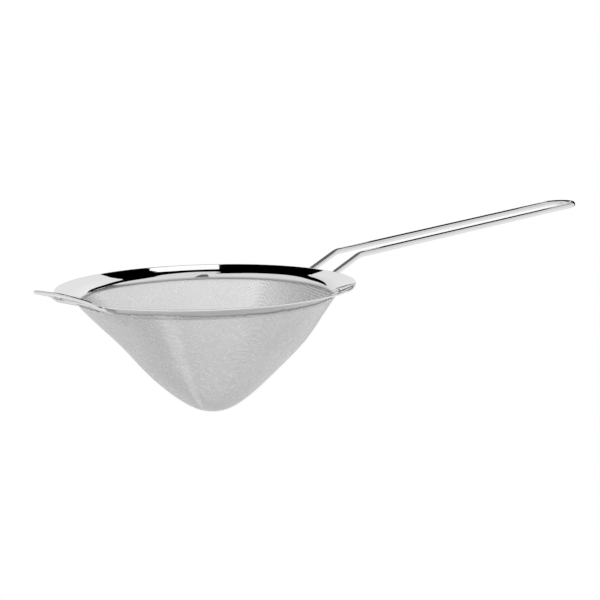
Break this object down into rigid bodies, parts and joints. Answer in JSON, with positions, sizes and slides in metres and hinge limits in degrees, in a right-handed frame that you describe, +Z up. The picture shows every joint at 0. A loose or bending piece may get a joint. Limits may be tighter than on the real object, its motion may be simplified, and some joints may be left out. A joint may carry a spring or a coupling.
{
  "type": "conical mesh strainer",
  "caption": "Fine-mesh conical kitchen strainer: a woven wire cone welded round the rolled collar of a wide polished brim, with a long bent-wire loop handle and a small wire rest bow opposite.",
  "frame": {"origin": "on the axis of the cone, level with the top of the brim's outer edge", "axes": "+Z up along the axis of the cone, +X along the handle, +Y to the left when looking along +X"},
  "size_m": [0.3023, 0.1202, 0.0712],
  "materials": {
    "polished_steel": "mirror polished stainless sheet",
    "bright_wire": "bright drawn stainless wire",
    "wire_cloth": "fine woven stainless wire"
  },
  "bodies": {
    "root": {"brim": "polished_steel", "mesh_cone": "wire_cloth", "handle_wire": "bright_wire", "rest_bow": "bright_wire"}
  },
  "joints": []
}
